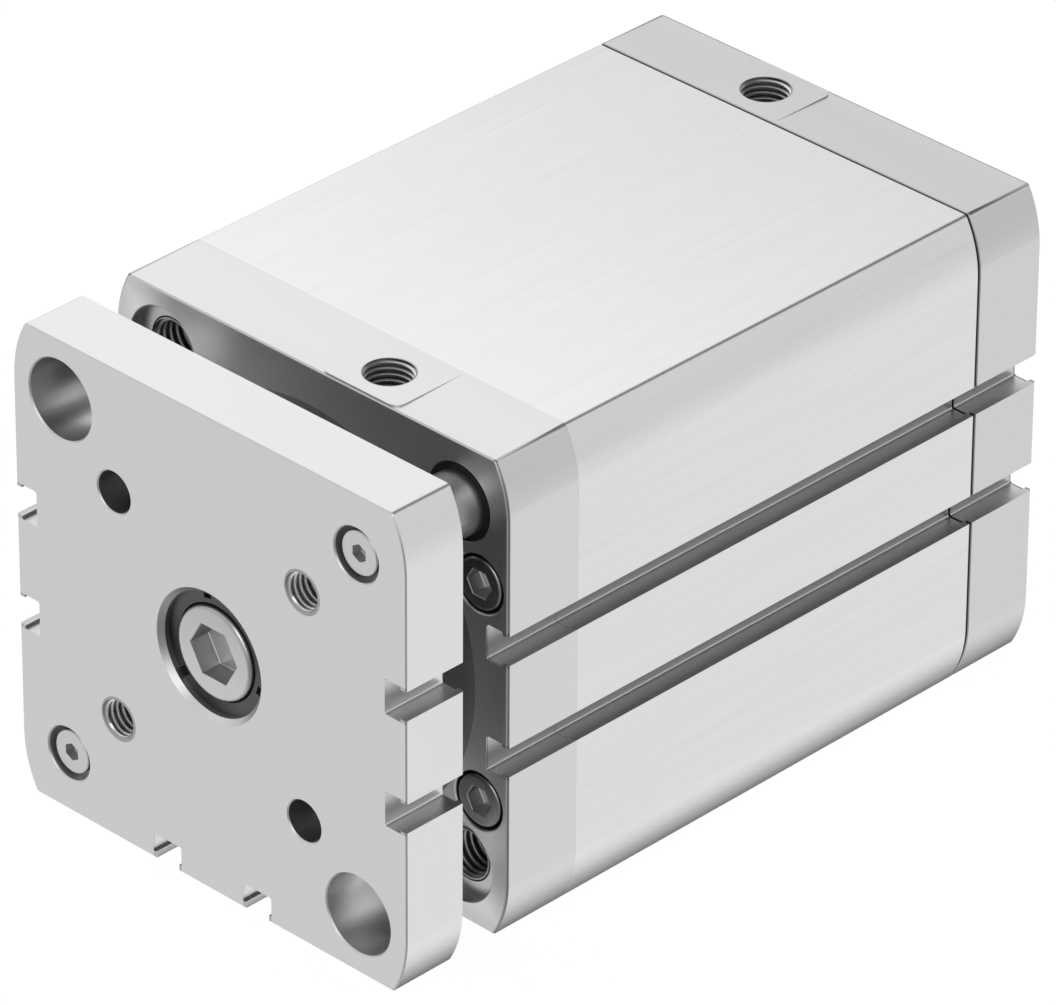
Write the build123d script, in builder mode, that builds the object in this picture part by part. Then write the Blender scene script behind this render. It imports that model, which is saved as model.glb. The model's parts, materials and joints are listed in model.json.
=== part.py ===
from build123d import *
import os

os.makedirs("parts", exist_ok=True)

# Compact guided pneumatic cylinder: a piston rod and two guide rods carry a yoke plate.
# The rods run along Y, the yoke plate faces -Y and the ports open upwards (+Z). The origin is
# the centre of the rear mounting face. A station is a distance ahead of that face, so a plane
# at a station is the XZ plane offset by it, and its sketches are drawn in X and Z.

# Outline that the yoke plate, both caps and the barrel share, a wall outside the bore
bore_diameter = 80.0
barrel_wall = 7.75
corner_inset = 3.25
corner_rise = 11.6
corner_rounding = 1.0

# Sensor slots, two along each side and two underneath
slot_screw_distance = 10.6
slot_mouth = 5.8
slot_width = 7.0
slot_lip = 1.35
slot_depth = 5.1
slot_floor_rounding = 0.5

# Barrel and caps
stroke = 80.0
bearing_cap_length = 16.8
end_cap_length = 16.2
spigot_depth = 3.5
cap_edge = 0.45
cap_drop = 0.3
seam_edge = 0.3
gasket_thickness = 0.5
gasket_inset = 0.6
recess_wall = 0.95
recess_depth = 1.0
channel_diameter = 13.5
nut_pocket_diameter = 32.0
nut_pocket_depth = 7.5

# Threads on the corner square: two of its places in front hold the guide rods
corner_side_distance = 11.75
mount_thread_diameter = 10.0
mount_thread_depth = 12.0
mount_spotface_diameter = 16.0
mount_spotface_depth = 2.5
centring_diameter = 12.0
centring_depth = 2.6

# Port threads, G 1/8, and their flat pads
port_thread_diameter = 9.728
port_thread_depth = 8.5
port_setback = 8.0
port_offset = 11.5
port_pad_width = 18.6
port_pad_rounding = 2.0
port_drill_diameter = 5.4
passage_diameter = 4.4
passage_bore_distance = 6.5

# Cap screws, M6
cap_screw_side_distance = 6.9
cap_screw_corner_distance = 14.2
cap_screw_diameter = 6.0
cap_screw_length = 24.0
cap_screw_head_diameter = 10.0
cap_screw_head_height = 6.0
cap_screw_head_edge = 0.5
cap_screw_key = 5.0
cap_screw_key_depth = 3.0
cap_screw_counterbore = 11.2

# Yoke plate
yoke_gap = 10.6
yoke_thickness = 13.7
yoke_edge = 0.25
access_hole_diameter = 15.4
yoke_hole_corner_distance = 13.0
yoke_thread_diameter = 8.0
dowel_diameter = 8.0
centre_chamfer = 1.0

# Yoke screw, M12 with a low head, and the slotted ring around its head
yoke_screw_diameter = 12.0
yoke_screw_length = 27.0
yoke_screw_head_diameter = 18.0
yoke_screw_head_height = 7.5
yoke_screw_head_edge = 0.9
yoke_screw_head_sink = 1.0
yoke_screw_key = 10.0
yoke_screw_key_depth = 4.5
ring_clearance = 0.35
ring_width = 2.55
ring_sink = 2.0
ring_notch_width = 1.8
ring_notch_depth = 1.7
ring_notch_turn = 102.0

# Guide rods and their screws, M5 with a low head
guide_rod_diameter = 12.0
guide_rod_seat = 3.0
guide_rod_end_gap = 4.8
guide_bush_wall = 1.2
guide_wiper_length = 3.0
guide_screw_diameter = 5.0
guide_screw_length = 18.0
guide_screw_head_diameter = 8.5
guide_screw_head_height = 3.5
guide_screw_head_edge = 0.4
guide_screw_head_sink = 0.7
guide_screw_key = 3.0
guide_screw_key_depth = 2.0
guide_screw_counterbore = 10.4

# Piston rod with its bearing, seal and wiper
rod_diameter = 20.0
rod_seat = 1.5
rod_stud_diameter = 12.0
rod_flat_depth = 1.5
rod_flat_length = 6.0
rod_bearing_wall = 2.0
rod_seal_wall = 4.0
rod_seal_length = 4.5
rod_wiper_length = 4.0
rod_wiper_lip = 0.6

# Piston: two halves around a magnet
piston_clearance = 0.5
piston_half_length = 5.75
buffer_edge_distance = 6.5
buffer_width = 5.0
buffer_seat = 1.0
buffer_proud = 0.7
magnet_edge_distance = 8.5
magnet_width = 7.0
magnet_length = 3.8
wear_ring_length = 2.0
wear_ring_depth = 2.0
piston_seal_depth = 5.0
piston_seal_length = 2.8
piston_seal_flange = 1.2
nut_key = 19.0
nut_height = 6.0
nut_seat_diameter = 24.0
nut_seat_depth = 2.6

# Rings and clearances
o_ring_section = 1.78
o_ring_squeeze = 0.12
piston_o_ring_section = 1.5
mouth_edge = 0.25
rod_edge = 0.5
running_gap = 0.05
thread_gap = 0.05
screw_clearance = 0.35
end_gap = 0.3
drill_overrun = 1.0

# Stations along the cylinder
end_cap_front = end_cap_length
barrel_rear = end_cap_front + gasket_thickness
end_spigot_front = barrel_rear + spigot_depth
piston_rear = end_spigot_front + end_gap
piston_length = 2 * (piston_half_length + buffer_proud)
piston_front = piston_rear + piston_length
front_spigot_rear = piston_front + stroke + end_gap
barrel_front = front_spigot_rear + spigot_depth
bearing_cap_front = barrel_front + bearing_cap_length
yoke_rear = bearing_cap_front + yoke_gap
yoke_front = yoke_rear + yoke_thickness

# Places across it: the side, the corner square, the yoke's inner holes, cap screws and slots
bore_radius = bore_diameter / 2
half_side = bore_radius + barrel_wall
corner = half_side - corner_side_distance
guide_spots = [(corner, corner), (-corner, -corner)]
free_spots = [(-corner, corner), (corner, -corner)]
yoke_corner = corner - yoke_hole_corner_distance
yoke_spots = [(yoke_corner, yoke_corner), (-yoke_corner, -yoke_corner)]
dowel_spots = [(-yoke_corner, yoke_corner), (yoke_corner, -yoke_corner)]
cap_screw_x = half_side - cap_screw_side_distance
cap_screw_z = corner - cap_screw_corner_distance
cap_screw_spots = [(sx * cap_screw_x, sz * cap_screw_z) for sx in (1, -1) for sz in (1, -1)]
slot_offset = cap_screw_z - slot_screw_distance
spigot_radius = bore_radius - running_gap


# The outline is one quadrant mirrored twice: a flat top, then an arc that runs tangent into the
# side, with the ridge between them rounded.
with BuildSketch() as body_section:
    with BuildLine():
        Line((0, half_side), (half_side - corner_inset, half_side))
        TangentArc(
            (half_side, half_side - corner_rise),
            (half_side - corner_inset, half_side),
            tangent=(0, 1),
        )
        Line((half_side, half_side - corner_rise), (half_side, 0))
        mirror(about=Plane.XZ)
        mirror(about=Plane.YZ)
    make_face()
    ridges = body_section.vertices().filter_by(
        lambda point: abs(abs(point.Y) - half_side) < 0.001 and abs(point.X) > 0.001
    )
    fillet(ridges, corner_rounding)

# One slot opens along +X, with its mouth on the side of the body
with BuildSketch() as slot_section:
    with Locations((-slot_depth, 0)):
        Rectangle(slot_depth - slot_lip, slot_width, align=(Align.MIN, Align.CENTER))
    fillet(slot_section.vertices().group_by(Axis.X)[0], slot_floor_rounding)
    with Locations((-slot_lip, 0)):
        Rectangle(slot_lip + drill_overrun, slot_mouth, align=(Align.MIN, Align.CENTER))

with BuildSketch() as slots_section:
    with PolarLocations(half_side, 3, start_angle=180, angular_range=270):
        with Locations((0, slot_offset), (0, -slot_offset)):
            add(slot_section.sketch_local)


def station(distance):
    """The plane across the cylinder at a distance ahead of the rear mounting face."""
    return Plane.XZ.offset(distance)


def ring(label, front, length, outer_diameter, inner_diameter, spots=((0, 0),)):
    """A plain ring, or one at each spot, that ends at a front station and runs rearwards."""
    with BuildPart() as body:
        with BuildSketch(station(front)):
            with Locations(*spots):
                Circle(outer_diameter / 2)
                Circle(inner_diameter / 2, mode=Mode.SUBTRACT)
        extrude(amount=-length)
    body.part.label = label
    return body


def round_ring(label, at, section, inner_radius):
    """A ring of round section at a station, outside a radius."""
    with BuildPart() as body:
        with BuildSketch(Plane.YZ):
            with Locations((-at, inner_radius + section / 2)):
                Circle(section / 2)
        revolve(axis=Axis.Y)
    body.part.label = label
    return body


def key_screws(label, seat, spots, head, shank, key, corner_angle):
    """Socket-head screws at spots on a seat plane, whose normal points out of their heads.

    head is (diameter, height, edge), shank is (diameter, length), key is (across flats, depth).
    """
    top = seat.offset(head[1])
    with BuildPart() as body:
        with BuildSketch(seat):
            with Locations(*spots):
                Circle(head[0] / 2)
        extrude(amount=head[1])
        rims = body.faces().filter_by(lambda face: abs(top.to_local_coords(face.center()).Z) < 0.001)
        fillet(rims.edges(), head[2])
        with BuildSketch(top):
            with Locations(*spots):
                RegularPolygon(key[0] / 2, 6, major_radius=False, rotation=corner_angle)
        extrude(amount=-key[1], mode=Mode.SUBTRACT)
        with BuildSketch(seat):
            with Locations(*spots):
                Circle(shank[0] / 2)
        extrude(amount=-shank[1])
    body.part.label = label
    return body


# Bores around the rods
rod_bearing_diameter = rod_diameter + 2 * rod_bearing_wall
rod_seal_diameter = rod_diameter + 2 * rod_seal_wall
guide_bush_diameter = guide_rod_diameter + 2 * guide_bush_wall

# Bearing cap. The recess in its front stays a wall inside the counterbores of the screws.
cap_screw_hole = cap_screw_diameter / 2 + screw_clearance
recess_radius = Vector(cap_screw_x, cap_screw_z).length - cap_screw_counterbore / 2 - recess_wall
guide_bush_front = bearing_cap_front - guide_wiper_length
recess_floor = bearing_cap_front - recess_depth
rod_wiper_rear = recess_floor - rod_wiper_length
rod_seal_rear = rod_wiper_rear - rod_seal_length
front_port = bearing_cap_front - port_setback
groove_width = o_ring_section + 4 * o_ring_squeeze
groove_radius = spigot_radius - o_ring_section + o_ring_squeeze
front_groove = barrel_front - spigot_depth / 2
rear_groove = barrel_rear + spigot_depth / 2
port_floor = half_side - port_thread_depth
passage_height = bore_radius - passage_bore_distance

with BuildPart() as bearing_cap:
    with BuildSketch(station(barrel_front)):
        add(body_section.sketch_local)
    extrude(amount=bearing_cap_length)
    chamfer(bearing_cap.faces().sort_by(Axis.Y)[0].edges(), cap_edge)
    with BuildSketch(Plane.YZ):
        with BuildLine():
            Polyline(
                (-barrel_front, half_side),
                (-bearing_cap_front, half_side - cap_drop),
                (-bearing_cap_front, half_side + drill_overrun),
                (-barrel_front, half_side + drill_overrun),
                close=True,
            )
        make_face()
    extrude(amount=half_side, both=True, mode=Mode.SUBTRACT)
    with BuildSketch(Plane.XY.offset(half_side)) as front_pad:
        with Locations((port_offset, -barrel_front)):
            Rectangle(port_pad_width, bearing_cap_length - cap_edge, align=(Align.CENTER, Align.MAX))
        fillet(front_pad.vertices().group_by(Axis.Y)[0], port_pad_rounding)
    extrude(amount=-2 * cap_drop)
    with BuildSketch(station(barrel_front)):
        add(slots_section.sketch_local)
    extrude(amount=bearing_cap_length, mode=Mode.SUBTRACT)
    with BuildSketch(station(front_spigot_rear)):
        Circle(spigot_radius)
    extrude(amount=spigot_depth)
    with BuildSketch(station(front_groove - groove_width / 2)):
        Circle(spigot_radius + drill_overrun)
        Circle(groove_radius, mode=Mode.SUBTRACT)
    extrude(amount=groove_width, mode=Mode.SUBTRACT)
    with BuildSketch(station(bearing_cap_front)):
        Circle(recess_radius)
    extrude(amount=-recess_depth, mode=Mode.SUBTRACT)
    with Locations(station(recess_floor)):
        CounterBoreHole(rod_bearing_diameter / 2, rod_seal_diameter / 2, rod_wiper_length + rod_seal_length)
    with Locations(station(bearing_cap_front)):
        with Locations(*guide_spots):
            Hole(guide_bush_diameter / 2)
        with Locations(*free_spots):
            CounterBoreHole(
                mount_thread_diameter / 2,
                mount_spotface_diameter / 2,
                mount_spotface_depth,
                mount_spotface_depth + mount_thread_depth,
            )
        with Locations(*cap_screw_spots):
            CounterBoreHole(cap_screw_hole, cap_screw_counterbore / 2, cap_screw_head_height)
    chamfer(bearing_cap.faces().sort_by(Axis.Y)[0].inner_wires().edges(), mouth_edge)
    with BuildSketch(Plane.XY.offset(half_side)):
        with Locations((port_offset, -front_port)):
            Circle(port_thread_diameter / 2)
    extrude(amount=-port_thread_depth, mode=Mode.SUBTRACT)
    with BuildSketch(Plane.XY.offset(port_floor)):
        with Locations((port_offset, -front_port)):
            Circle(port_drill_diameter / 2)
    extrude(amount=passage_height - port_drill_diameter / 2 - port_floor, mode=Mode.SUBTRACT)
    with BuildSketch(station(front_spigot_rear)):
        with Locations((port_offset, passage_height)):
            Circle(passage_diameter / 2)
    extrude(amount=front_port - front_spigot_rear, mode=Mode.SUBTRACT)
bearing_cap.part.label = "bearing_cap"
export_step(bearing_cap.part, "parts/bearing_cap.step")

# Barrel: an extruded tube with four corner channels and blind screw threads in each end
with BuildPart() as barrel:
    with BuildSketch(station(barrel_rear)):
        add(body_section.sketch_local)
        add(slots_section.sketch_local, mode=Mode.SUBTRACT)
        Circle(bore_radius, mode=Mode.SUBTRACT)
        with GridLocations(2 * corner, 2 * corner, 2, 2):
            Circle(channel_diameter / 2, mode=Mode.SUBTRACT)
    extrude(amount=barrel_front - barrel_rear)
    thread_reach = cap_screw_length + drill_overrun + cap_screw_head_height
    with BuildSketch(station(barrel_front)):
        with Locations(*cap_screw_spots):
            Circle(cap_screw_diameter / 2)
    extrude(amount=bearing_cap_length - thread_reach, mode=Mode.SUBTRACT)
    with BuildSketch(station(barrel_rear)):
        with Locations(*cap_screw_spots):
            Circle(cap_screw_diameter / 2)
    extrude(amount=thread_reach - barrel_rear, mode=Mode.SUBTRACT)
barrel.part.label = "barrel"
export_step(barrel.part, "parts/barrel.step")

# End cap
with BuildPart() as end_cap:
    with BuildSketch(station(0)):
        add(body_section.sketch_local)
    extrude(amount=end_cap_length)
    chamfer(end_cap.faces().sort_by(Axis.Y)[-1].edges(), cap_edge)
    chamfer(end_cap.faces().sort_by(Axis.Y)[0].edges(), seam_edge)
    with BuildSketch(Plane.YZ):
        with BuildLine():
            Polyline(
                (-end_cap_front, half_side),
                (0, half_side - cap_drop),
                (0, half_side + drill_overrun),
                (-end_cap_front, half_side + drill_overrun),
                close=True,
            )
        make_face()
    extrude(amount=half_side, both=True, mode=Mode.SUBTRACT)
    with BuildSketch(Plane.XY.offset(half_side)) as rear_pad:
        with Locations((-port_offset, -end_cap_front + seam_edge)):
            Rectangle(
                port_pad_width,
                end_cap_length - seam_edge - cap_edge,
                align=(Align.CENTER, Align.MIN),
            )
        fillet(rear_pad.vertices().group_by(Axis.Y)[-1], port_pad_rounding)
    extrude(amount=-2 * cap_drop)
    with BuildSketch(station(0)):
        add(slots_section.sketch_local)
    extrude(amount=end_cap_length, mode=Mode.SUBTRACT)
    with BuildSketch(station(end_cap_front)):
        Circle(spigot_radius)
    extrude(amount=end_spigot_front - end_cap_front)
    with BuildSketch(station(rear_groove - groove_width / 2)):
        Circle(spigot_radius + drill_overrun)
        Circle(groove_radius, mode=Mode.SUBTRACT)
    extrude(amount=groove_width, mode=Mode.SUBTRACT)
    with BuildSketch(station(end_spigot_front)):
        Circle(nut_pocket_diameter / 2)
    extrude(amount=-nut_pocket_depth, mode=Mode.SUBTRACT)
    with BuildSketch(station(0)):
        with GridLocations(2 * corner, 2 * corner, 2, 2):
            Circle(mount_thread_diameter / 2)
    extrude(amount=mount_thread_depth, mode=Mode.SUBTRACT)
    with BuildSketch(station(0)):
        with Locations(*cap_screw_spots):
            Circle(cap_screw_counterbore / 2)
    extrude(amount=cap_screw_head_height, mode=Mode.SUBTRACT)
    with BuildSketch(station(0)):
        with Locations(*cap_screw_spots):
            Circle(cap_screw_hole)
    extrude(amount=end_cap_length, mode=Mode.SUBTRACT)
    chamfer(end_cap.faces().sort_by(Axis.Y)[-1].inner_wires().edges(), mouth_edge)
    with BuildSketch(station(0)):
        Circle(centring_diameter / 2)
    extrude(amount=centring_depth, mode=Mode.SUBTRACT)
    with BuildSketch(Plane.XY.offset(half_side)):
        with Locations((-port_offset, -port_setback)):
            Circle(port_thread_diameter / 2)
    extrude(amount=-port_thread_depth, mode=Mode.SUBTRACT)
    with BuildSketch(Plane.XY.offset(port_floor)):
        with Locations((-port_offset, -port_setback)):
            Circle(port_drill_diameter / 2)
    extrude(amount=passage_height - port_drill_diameter / 2 - port_floor, mode=Mode.SUBTRACT)
    with BuildSketch(station(end_spigot_front)):
        with Locations((-port_offset, passage_height)):
            Circle(passage_diameter / 2)
    extrude(amount=port_setback - end_spigot_front, mode=Mode.SUBTRACT)
end_cap.part.label = "end_cap"
export_step(end_cap.part, "parts/end_cap.step")

# Seam gasket between the barrel and the end cap, drawn in behind the outline and the slots
with BuildPart() as seam_gasket:
    with BuildSketch(station(end_cap_front)):
        add(body_section.sketch_local)
        add(slots_section.sketch_local, mode=Mode.SUBTRACT)
        offset(amount=-gasket_inset, kind=Kind.INTERSECTION, mode=Mode.REPLACE)
        Circle(bore_radius, mode=Mode.SUBTRACT)
        with GridLocations(2 * corner, 2 * corner, 2, 2):
            Circle(channel_diameter / 2, mode=Mode.SUBTRACT)
        with Locations(*cap_screw_spots):
            Circle(cap_screw_hole, mode=Mode.SUBTRACT)
    extrude(amount=gasket_thickness)
seam_gasket.part.label = "seam_gasket"
export_step(seam_gasket.part, "parts/seam_gasket.step")

# Screws that hold the caps on the barrel
cap_screw_head = (cap_screw_head_diameter, cap_screw_head_height, cap_screw_head_edge)
cap_screw_shank = (cap_screw_diameter - 2 * thread_gap, cap_screw_length)
cap_screw_socket = (cap_screw_key, cap_screw_key_depth)
front_seat = station(bearing_cap_front - cap_screw_head_height)
rear_seat = Plane(station(cap_screw_head_height).origin, x_dir=(-1, 0, 0), z_dir=(0, 1, 0))
front_cap_screws = key_screws(
    "front_cap_screws", front_seat, cap_screw_spots, cap_screw_head, cap_screw_shank, cap_screw_socket, 0
)
export_step(front_cap_screws.part, "parts/front_cap_screws.step")
rear_cap_screws = key_screws(
    "rear_cap_screws", rear_seat, cap_screw_spots, cap_screw_head, cap_screw_shank, cap_screw_socket, 0
)
export_step(rear_cap_screws.part, "parts/rear_cap_screws.step")

# Cap O-rings in the spigot grooves
front_o_ring = round_ring("front_o_ring", front_groove, o_ring_section - o_ring_squeeze, groove_radius)
export_step(front_o_ring.part, "parts/front_o_ring.step")
rear_o_ring = round_ring("rear_o_ring", rear_groove, o_ring_section - o_ring_squeeze, groove_radius)
export_step(rear_o_ring.part, "parts/rear_o_ring.step")

# Rod bearing, rod seal and rod wiper in the bearing cap
rod_hole = rod_diameter + 2 * running_gap
rod_bearing_length = rod_seal_rear - front_spigot_rear
rod_bearing = ring("rod_bearing", rod_seal_rear, rod_bearing_length, rod_bearing_diameter, rod_hole)
export_step(rod_bearing.part, "parts/rod_bearing.step")
rod_seal = ring("rod_seal", rod_wiper_rear, rod_seal_length, rod_seal_diameter, rod_hole)
export_step(rod_seal.part, "parts/rod_seal.step")

# The wiper's lip leans forward on the rod, proud of the recess floor
with BuildPart() as rod_wiper:
    with BuildSketch(Plane.YZ):
        with BuildLine():
            Polyline(
                (-rod_wiper_rear, rod_hole / 2),
                (-recess_floor - rod_wiper_lip, rod_hole / 2),
                (-recess_floor - rod_wiper_lip, rod_hole / 2 + rod_wiper_lip),
                (-recess_floor, rod_hole / 2 + 2 * rod_wiper_lip),
                (-recess_floor, rod_seal_diameter / 2),
                (-rod_wiper_rear, rod_seal_diameter / 2),
                close=True,
            )
        make_face()
    revolve(axis=Axis.Y)
rod_wiper.part.label = "rod_wiper"
export_step(rod_wiper.part, "parts/rod_wiper.step")

# Guide bushes and their wipers, one pair for each guide rod
guide_hole = guide_rod_diameter + 2 * running_gap
guide_bush_length = guide_bush_front - barrel_front
guide_wiper_front = bearing_cap_front
for place, spot in zip(("upper", "lower"), guide_spots):
    label = f"guide_bush_{place}"
    bush = ring(label, guide_bush_front, guide_bush_length, guide_bush_diameter, guide_hole, [spot])
    export_step(bush.part, f"parts/{label}.step")
    label = f"guide_wiper_{place}"
    wiper = ring(label, guide_wiper_front, guide_wiper_length, guide_bush_diameter, guide_hole, [spot])
    export_step(wiper.part, f"parts/{label}.step")

# Yoke plate
ring_bore = yoke_screw_head_diameter + 2 * ring_clearance
ring_diameter = ring_bore + 2 * ring_width
yoke_screw_seat = yoke_front - yoke_screw_head_sink - yoke_screw_head_height
guide_screw_seat = yoke_front - guide_screw_head_sink - guide_screw_head_height
rod_front = yoke_rear + rod_seat
guide_rod_front = yoke_rear + guide_rod_seat

with BuildPart() as yoke_plate:
    with BuildSketch(station(yoke_rear)):
        add(body_section.sketch_local)
    extrude(amount=yoke_thickness)
    ends = yoke_plate.faces().sort_by(Axis.Y)
    chamfer(ends[0].edges() + ends[-1].edges(), yoke_edge)
    with BuildSketch(station(yoke_rear)):
        add(slots_section.sketch_local)
    extrude(amount=yoke_thickness, mode=Mode.SUBTRACT)
    with Locations(station(yoke_front)):
        CounterBoreHole(
            yoke_screw_diameter / 2 + screw_clearance,
            ring_diameter / 2,
            yoke_front - yoke_screw_seat,
        )
        with Locations(*guide_spots):
            CounterBoreHole(
                guide_screw_diameter / 2 + screw_clearance,
                guide_screw_counterbore / 2,
                yoke_front - guide_screw_seat,
            )
        with Locations(*free_spots):
            Hole(access_hole_diameter / 2)
        with Locations(*yoke_spots):
            Hole(yoke_thread_diameter / 2)
        with Locations(*dowel_spots):
            Hole(dowel_diameter / 2)
    with BuildSketch(station(yoke_rear)):
        Circle(rod_diameter / 2)
    extrude(amount=rod_seat, mode=Mode.SUBTRACT)
    with BuildSketch(station(yoke_rear)):
        with Locations(*guide_spots):
            Circle(guide_rod_diameter / 2)
    extrude(amount=guide_rod_seat, mode=Mode.SUBTRACT)
    mouths = yoke_plate.faces().sort_by(Axis.Y)[0].inner_wires().edges().sort_by(SortBy.RADIUS)
    chamfer(mouths[-1], centre_chamfer)
    mouths = yoke_plate.faces().sort_by(Axis.Y)[0].inner_wires().edges().sort_by(SortBy.RADIUS)
    chamfer(mouths[:-1], mouth_edge)
yoke_plate.part.label = "yoke_plate"
export_step(yoke_plate.part, "parts/yoke_plate.step")

yoke_screw = key_screws(
    "yoke_screw",
    station(yoke_screw_seat),
    [(0, 0)],
    (yoke_screw_head_diameter, yoke_screw_head_height, yoke_screw_head_edge),
    (yoke_screw_diameter - 2 * thread_gap, yoke_screw_length),
    (yoke_screw_key, yoke_screw_key_depth),
    0,
)
export_step(yoke_screw.part, "parts/yoke_screw.step")

# The ring fills the counterbore around the screw head; three notches take a pin spanner
ring_front = yoke_front - ring_sink
with BuildPart() as yoke_ring:
    with BuildSketch(station(ring_front)):
        Circle(ring_diameter / 2)
        Circle(ring_bore / 2, mode=Mode.SUBTRACT)
    extrude(amount=yoke_screw_seat - ring_front)
    with BuildSketch(station(ring_front)):
        with PolarLocations(ring_diameter / 2, 3, start_angle=ring_notch_turn):
            Rectangle(2 * ring_notch_depth, ring_notch_width)
    extrude(amount=-ring_notch_depth, mode=Mode.SUBTRACT)
yoke_ring.part.label = "yoke_ring"
export_step(yoke_ring.part, "parts/yoke_ring.step")

# Guide rods, seated in the back of the yoke plate, and their screws
guide_thread_depth = guide_screw_length + drill_overrun - (guide_screw_seat - guide_rod_front)
guide_rod_rear = barrel_rear + guide_rod_end_gap
for place, spot in zip(("upper", "lower"), guide_spots):
    with BuildPart() as guide_rod:
        with BuildSketch(station(guide_rod_rear)):
            with Locations(spot):
                Circle(guide_rod_diameter / 2)
        extrude(amount=guide_rod_front - guide_rod_rear)
        chamfer(guide_rod.faces().sort_by(Axis.Y)[-1].edges(), rod_edge)
        with BuildSketch(station(guide_rod_front)):
            with Locations(spot):
                Circle(guide_screw_diameter / 2)
        extrude(amount=-guide_thread_depth, mode=Mode.SUBTRACT)
    guide_rod.part.label = f"guide_rod_{place}"
    export_step(guide_rod.part, f"parts/guide_rod_{place}.step")

guide_screws = key_screws(
    "guide_screws",
    station(guide_screw_seat),
    guide_spots,
    (guide_screw_head_diameter, guide_screw_head_height, guide_screw_head_edge),
    (guide_screw_diameter - 2 * thread_gap, guide_screw_length),
    (guide_screw_key, guide_screw_key_depth),
    30,
)
export_step(guide_screws.part, "parts/guide_screws.step")

# Piston rod: a flatted front end with a thread for the yoke screw, and a stud for the piston
half_front = piston_front - buffer_proud
half_seam = half_front - piston_half_length
half_rear = half_seam - piston_half_length
nut_front = half_rear + nut_seat_depth
nut_rear = nut_front - nut_height
rod_thread_depth = yoke_screw_length + drill_overrun - (yoke_screw_seat - rod_front)
rod_flat_width = rod_diameter - 2 * rod_flat_depth
flat_front = yoke_rear - end_gap
with BuildPart() as piston_rod:
    with BuildSketch(station(half_front)):
        Circle(rod_diameter / 2)
    extrude(amount=rod_front - half_front)
    with BuildSketch(station(flat_front)):
        Rectangle(rod_diameter, rod_diameter)
        Rectangle(rod_flat_width, rod_diameter, mode=Mode.SUBTRACT)
    extrude(amount=-rod_flat_length, mode=Mode.SUBTRACT)
    with BuildSketch(station(nut_rear)):
        Circle(rod_stud_diameter / 2)
    extrude(amount=half_front - nut_rear)
    chamfer(piston_rod.faces().sort_by(Axis.Y)[-1].edges(), rod_edge)
    with BuildSketch(station(rod_front)):
        Circle(yoke_screw_diameter / 2)
    extrude(amount=-rod_thread_depth, mode=Mode.SUBTRACT)
piston_rod.part.label = "piston_rod"
export_step(piston_rod.part, "parts/piston_rod.step")

# Piston halves. Each one is drawn from the seam between them, so the rear half is turned round.
piston_radius = bore_radius - piston_clearance
seal_groove_floor = piston_radius - piston_seal_depth
wear_groove_floor = piston_radius - wear_ring_depth
magnet_outer = piston_radius - magnet_edge_distance
magnet_inner = magnet_outer - magnet_width
buffer_outer = piston_radius - buffer_edge_distance
buffer_inner = buffer_outer - buffer_width
piston_seal_seat = piston_half_length - piston_seal_flange - piston_seal_length
stud_hole_radius = rod_stud_diameter / 2 + running_gap
stud_groove_radius = stud_hole_radius + piston_o_ring_section + running_gap
stud_groove_depth = piston_o_ring_section + running_gap


def piston_half(seam):
    """Half of the piston, drawn on the seam plane and built along that plane's normal."""
    with BuildPart() as body:
        with BuildSketch(seam):
            Circle(piston_radius)
            Circle(stud_hole_radius, mode=Mode.SUBTRACT)
        extrude(amount=piston_half_length)
        with BuildSketch(seam):
            Circle(magnet_outer + running_gap)
            Circle(magnet_inner - running_gap, mode=Mode.SUBTRACT)
        extrude(amount=magnet_length / 2 + running_gap, mode=Mode.SUBTRACT)
        with BuildSketch(seam):
            Circle(piston_radius + drill_overrun)
            Circle(wear_groove_floor, mode=Mode.SUBTRACT)
        extrude(amount=wear_ring_length / 2, mode=Mode.SUBTRACT)
        with BuildSketch(seam.offset(piston_seal_seat)):
            Circle(piston_radius + drill_overrun)
            Circle(seal_groove_floor, mode=Mode.SUBTRACT)
        extrude(amount=piston_seal_length, mode=Mode.SUBTRACT)
        with BuildSketch(seam.offset(piston_half_length)):
            Circle(buffer_outer)
            Circle(buffer_inner, mode=Mode.SUBTRACT)
        extrude(amount=-buffer_seat, mode=Mode.SUBTRACT)
    return body.part


front_seam = station(half_seam)
rear_seam = Plane(front_seam.origin, x_dir=(-1, 0, 0), z_dir=(0, 1, 0))
with BuildPart() as piston_front_half:
    add(piston_half(front_seam))
    with BuildSketch(front_seam):
        Circle(stud_groove_radius)
    extrude(amount=stud_groove_depth, mode=Mode.SUBTRACT)
piston_front_half.part.label = "piston_front_half"
export_step(piston_front_half.part, "parts/piston_front_half.step")
with BuildPart() as piston_rear_half:
    add(piston_half(rear_seam))
    with BuildSketch(station(half_rear)):
        Circle(nut_seat_diameter / 2)
    extrude(amount=nut_seat_depth, mode=Mode.SUBTRACT)
piston_rear_half.part.label = "piston_rear_half"
export_step(piston_rear_half.part, "parts/piston_rear_half.step")

with BuildPart() as piston_nut:
    with BuildSketch(station(nut_rear)):
        RegularPolygon(nut_key / 2, 6, major_radius=False)
        Circle(rod_stud_diameter / 2 + thread_gap, mode=Mode.SUBTRACT)
    extrude(amount=nut_height)
piston_nut.part.label = "piston_nut"
export_step(piston_nut.part, "parts/piston_nut.step")

# O-ring around the stud, in the front half's groove
stud_groove = half_seam + stud_groove_depth / 2
piston_o_ring = round_ring("piston_o_ring", stud_groove, piston_o_ring_section, stud_hole_radius)
export_step(piston_o_ring.part, "parts/piston_o_ring.step")

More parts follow.
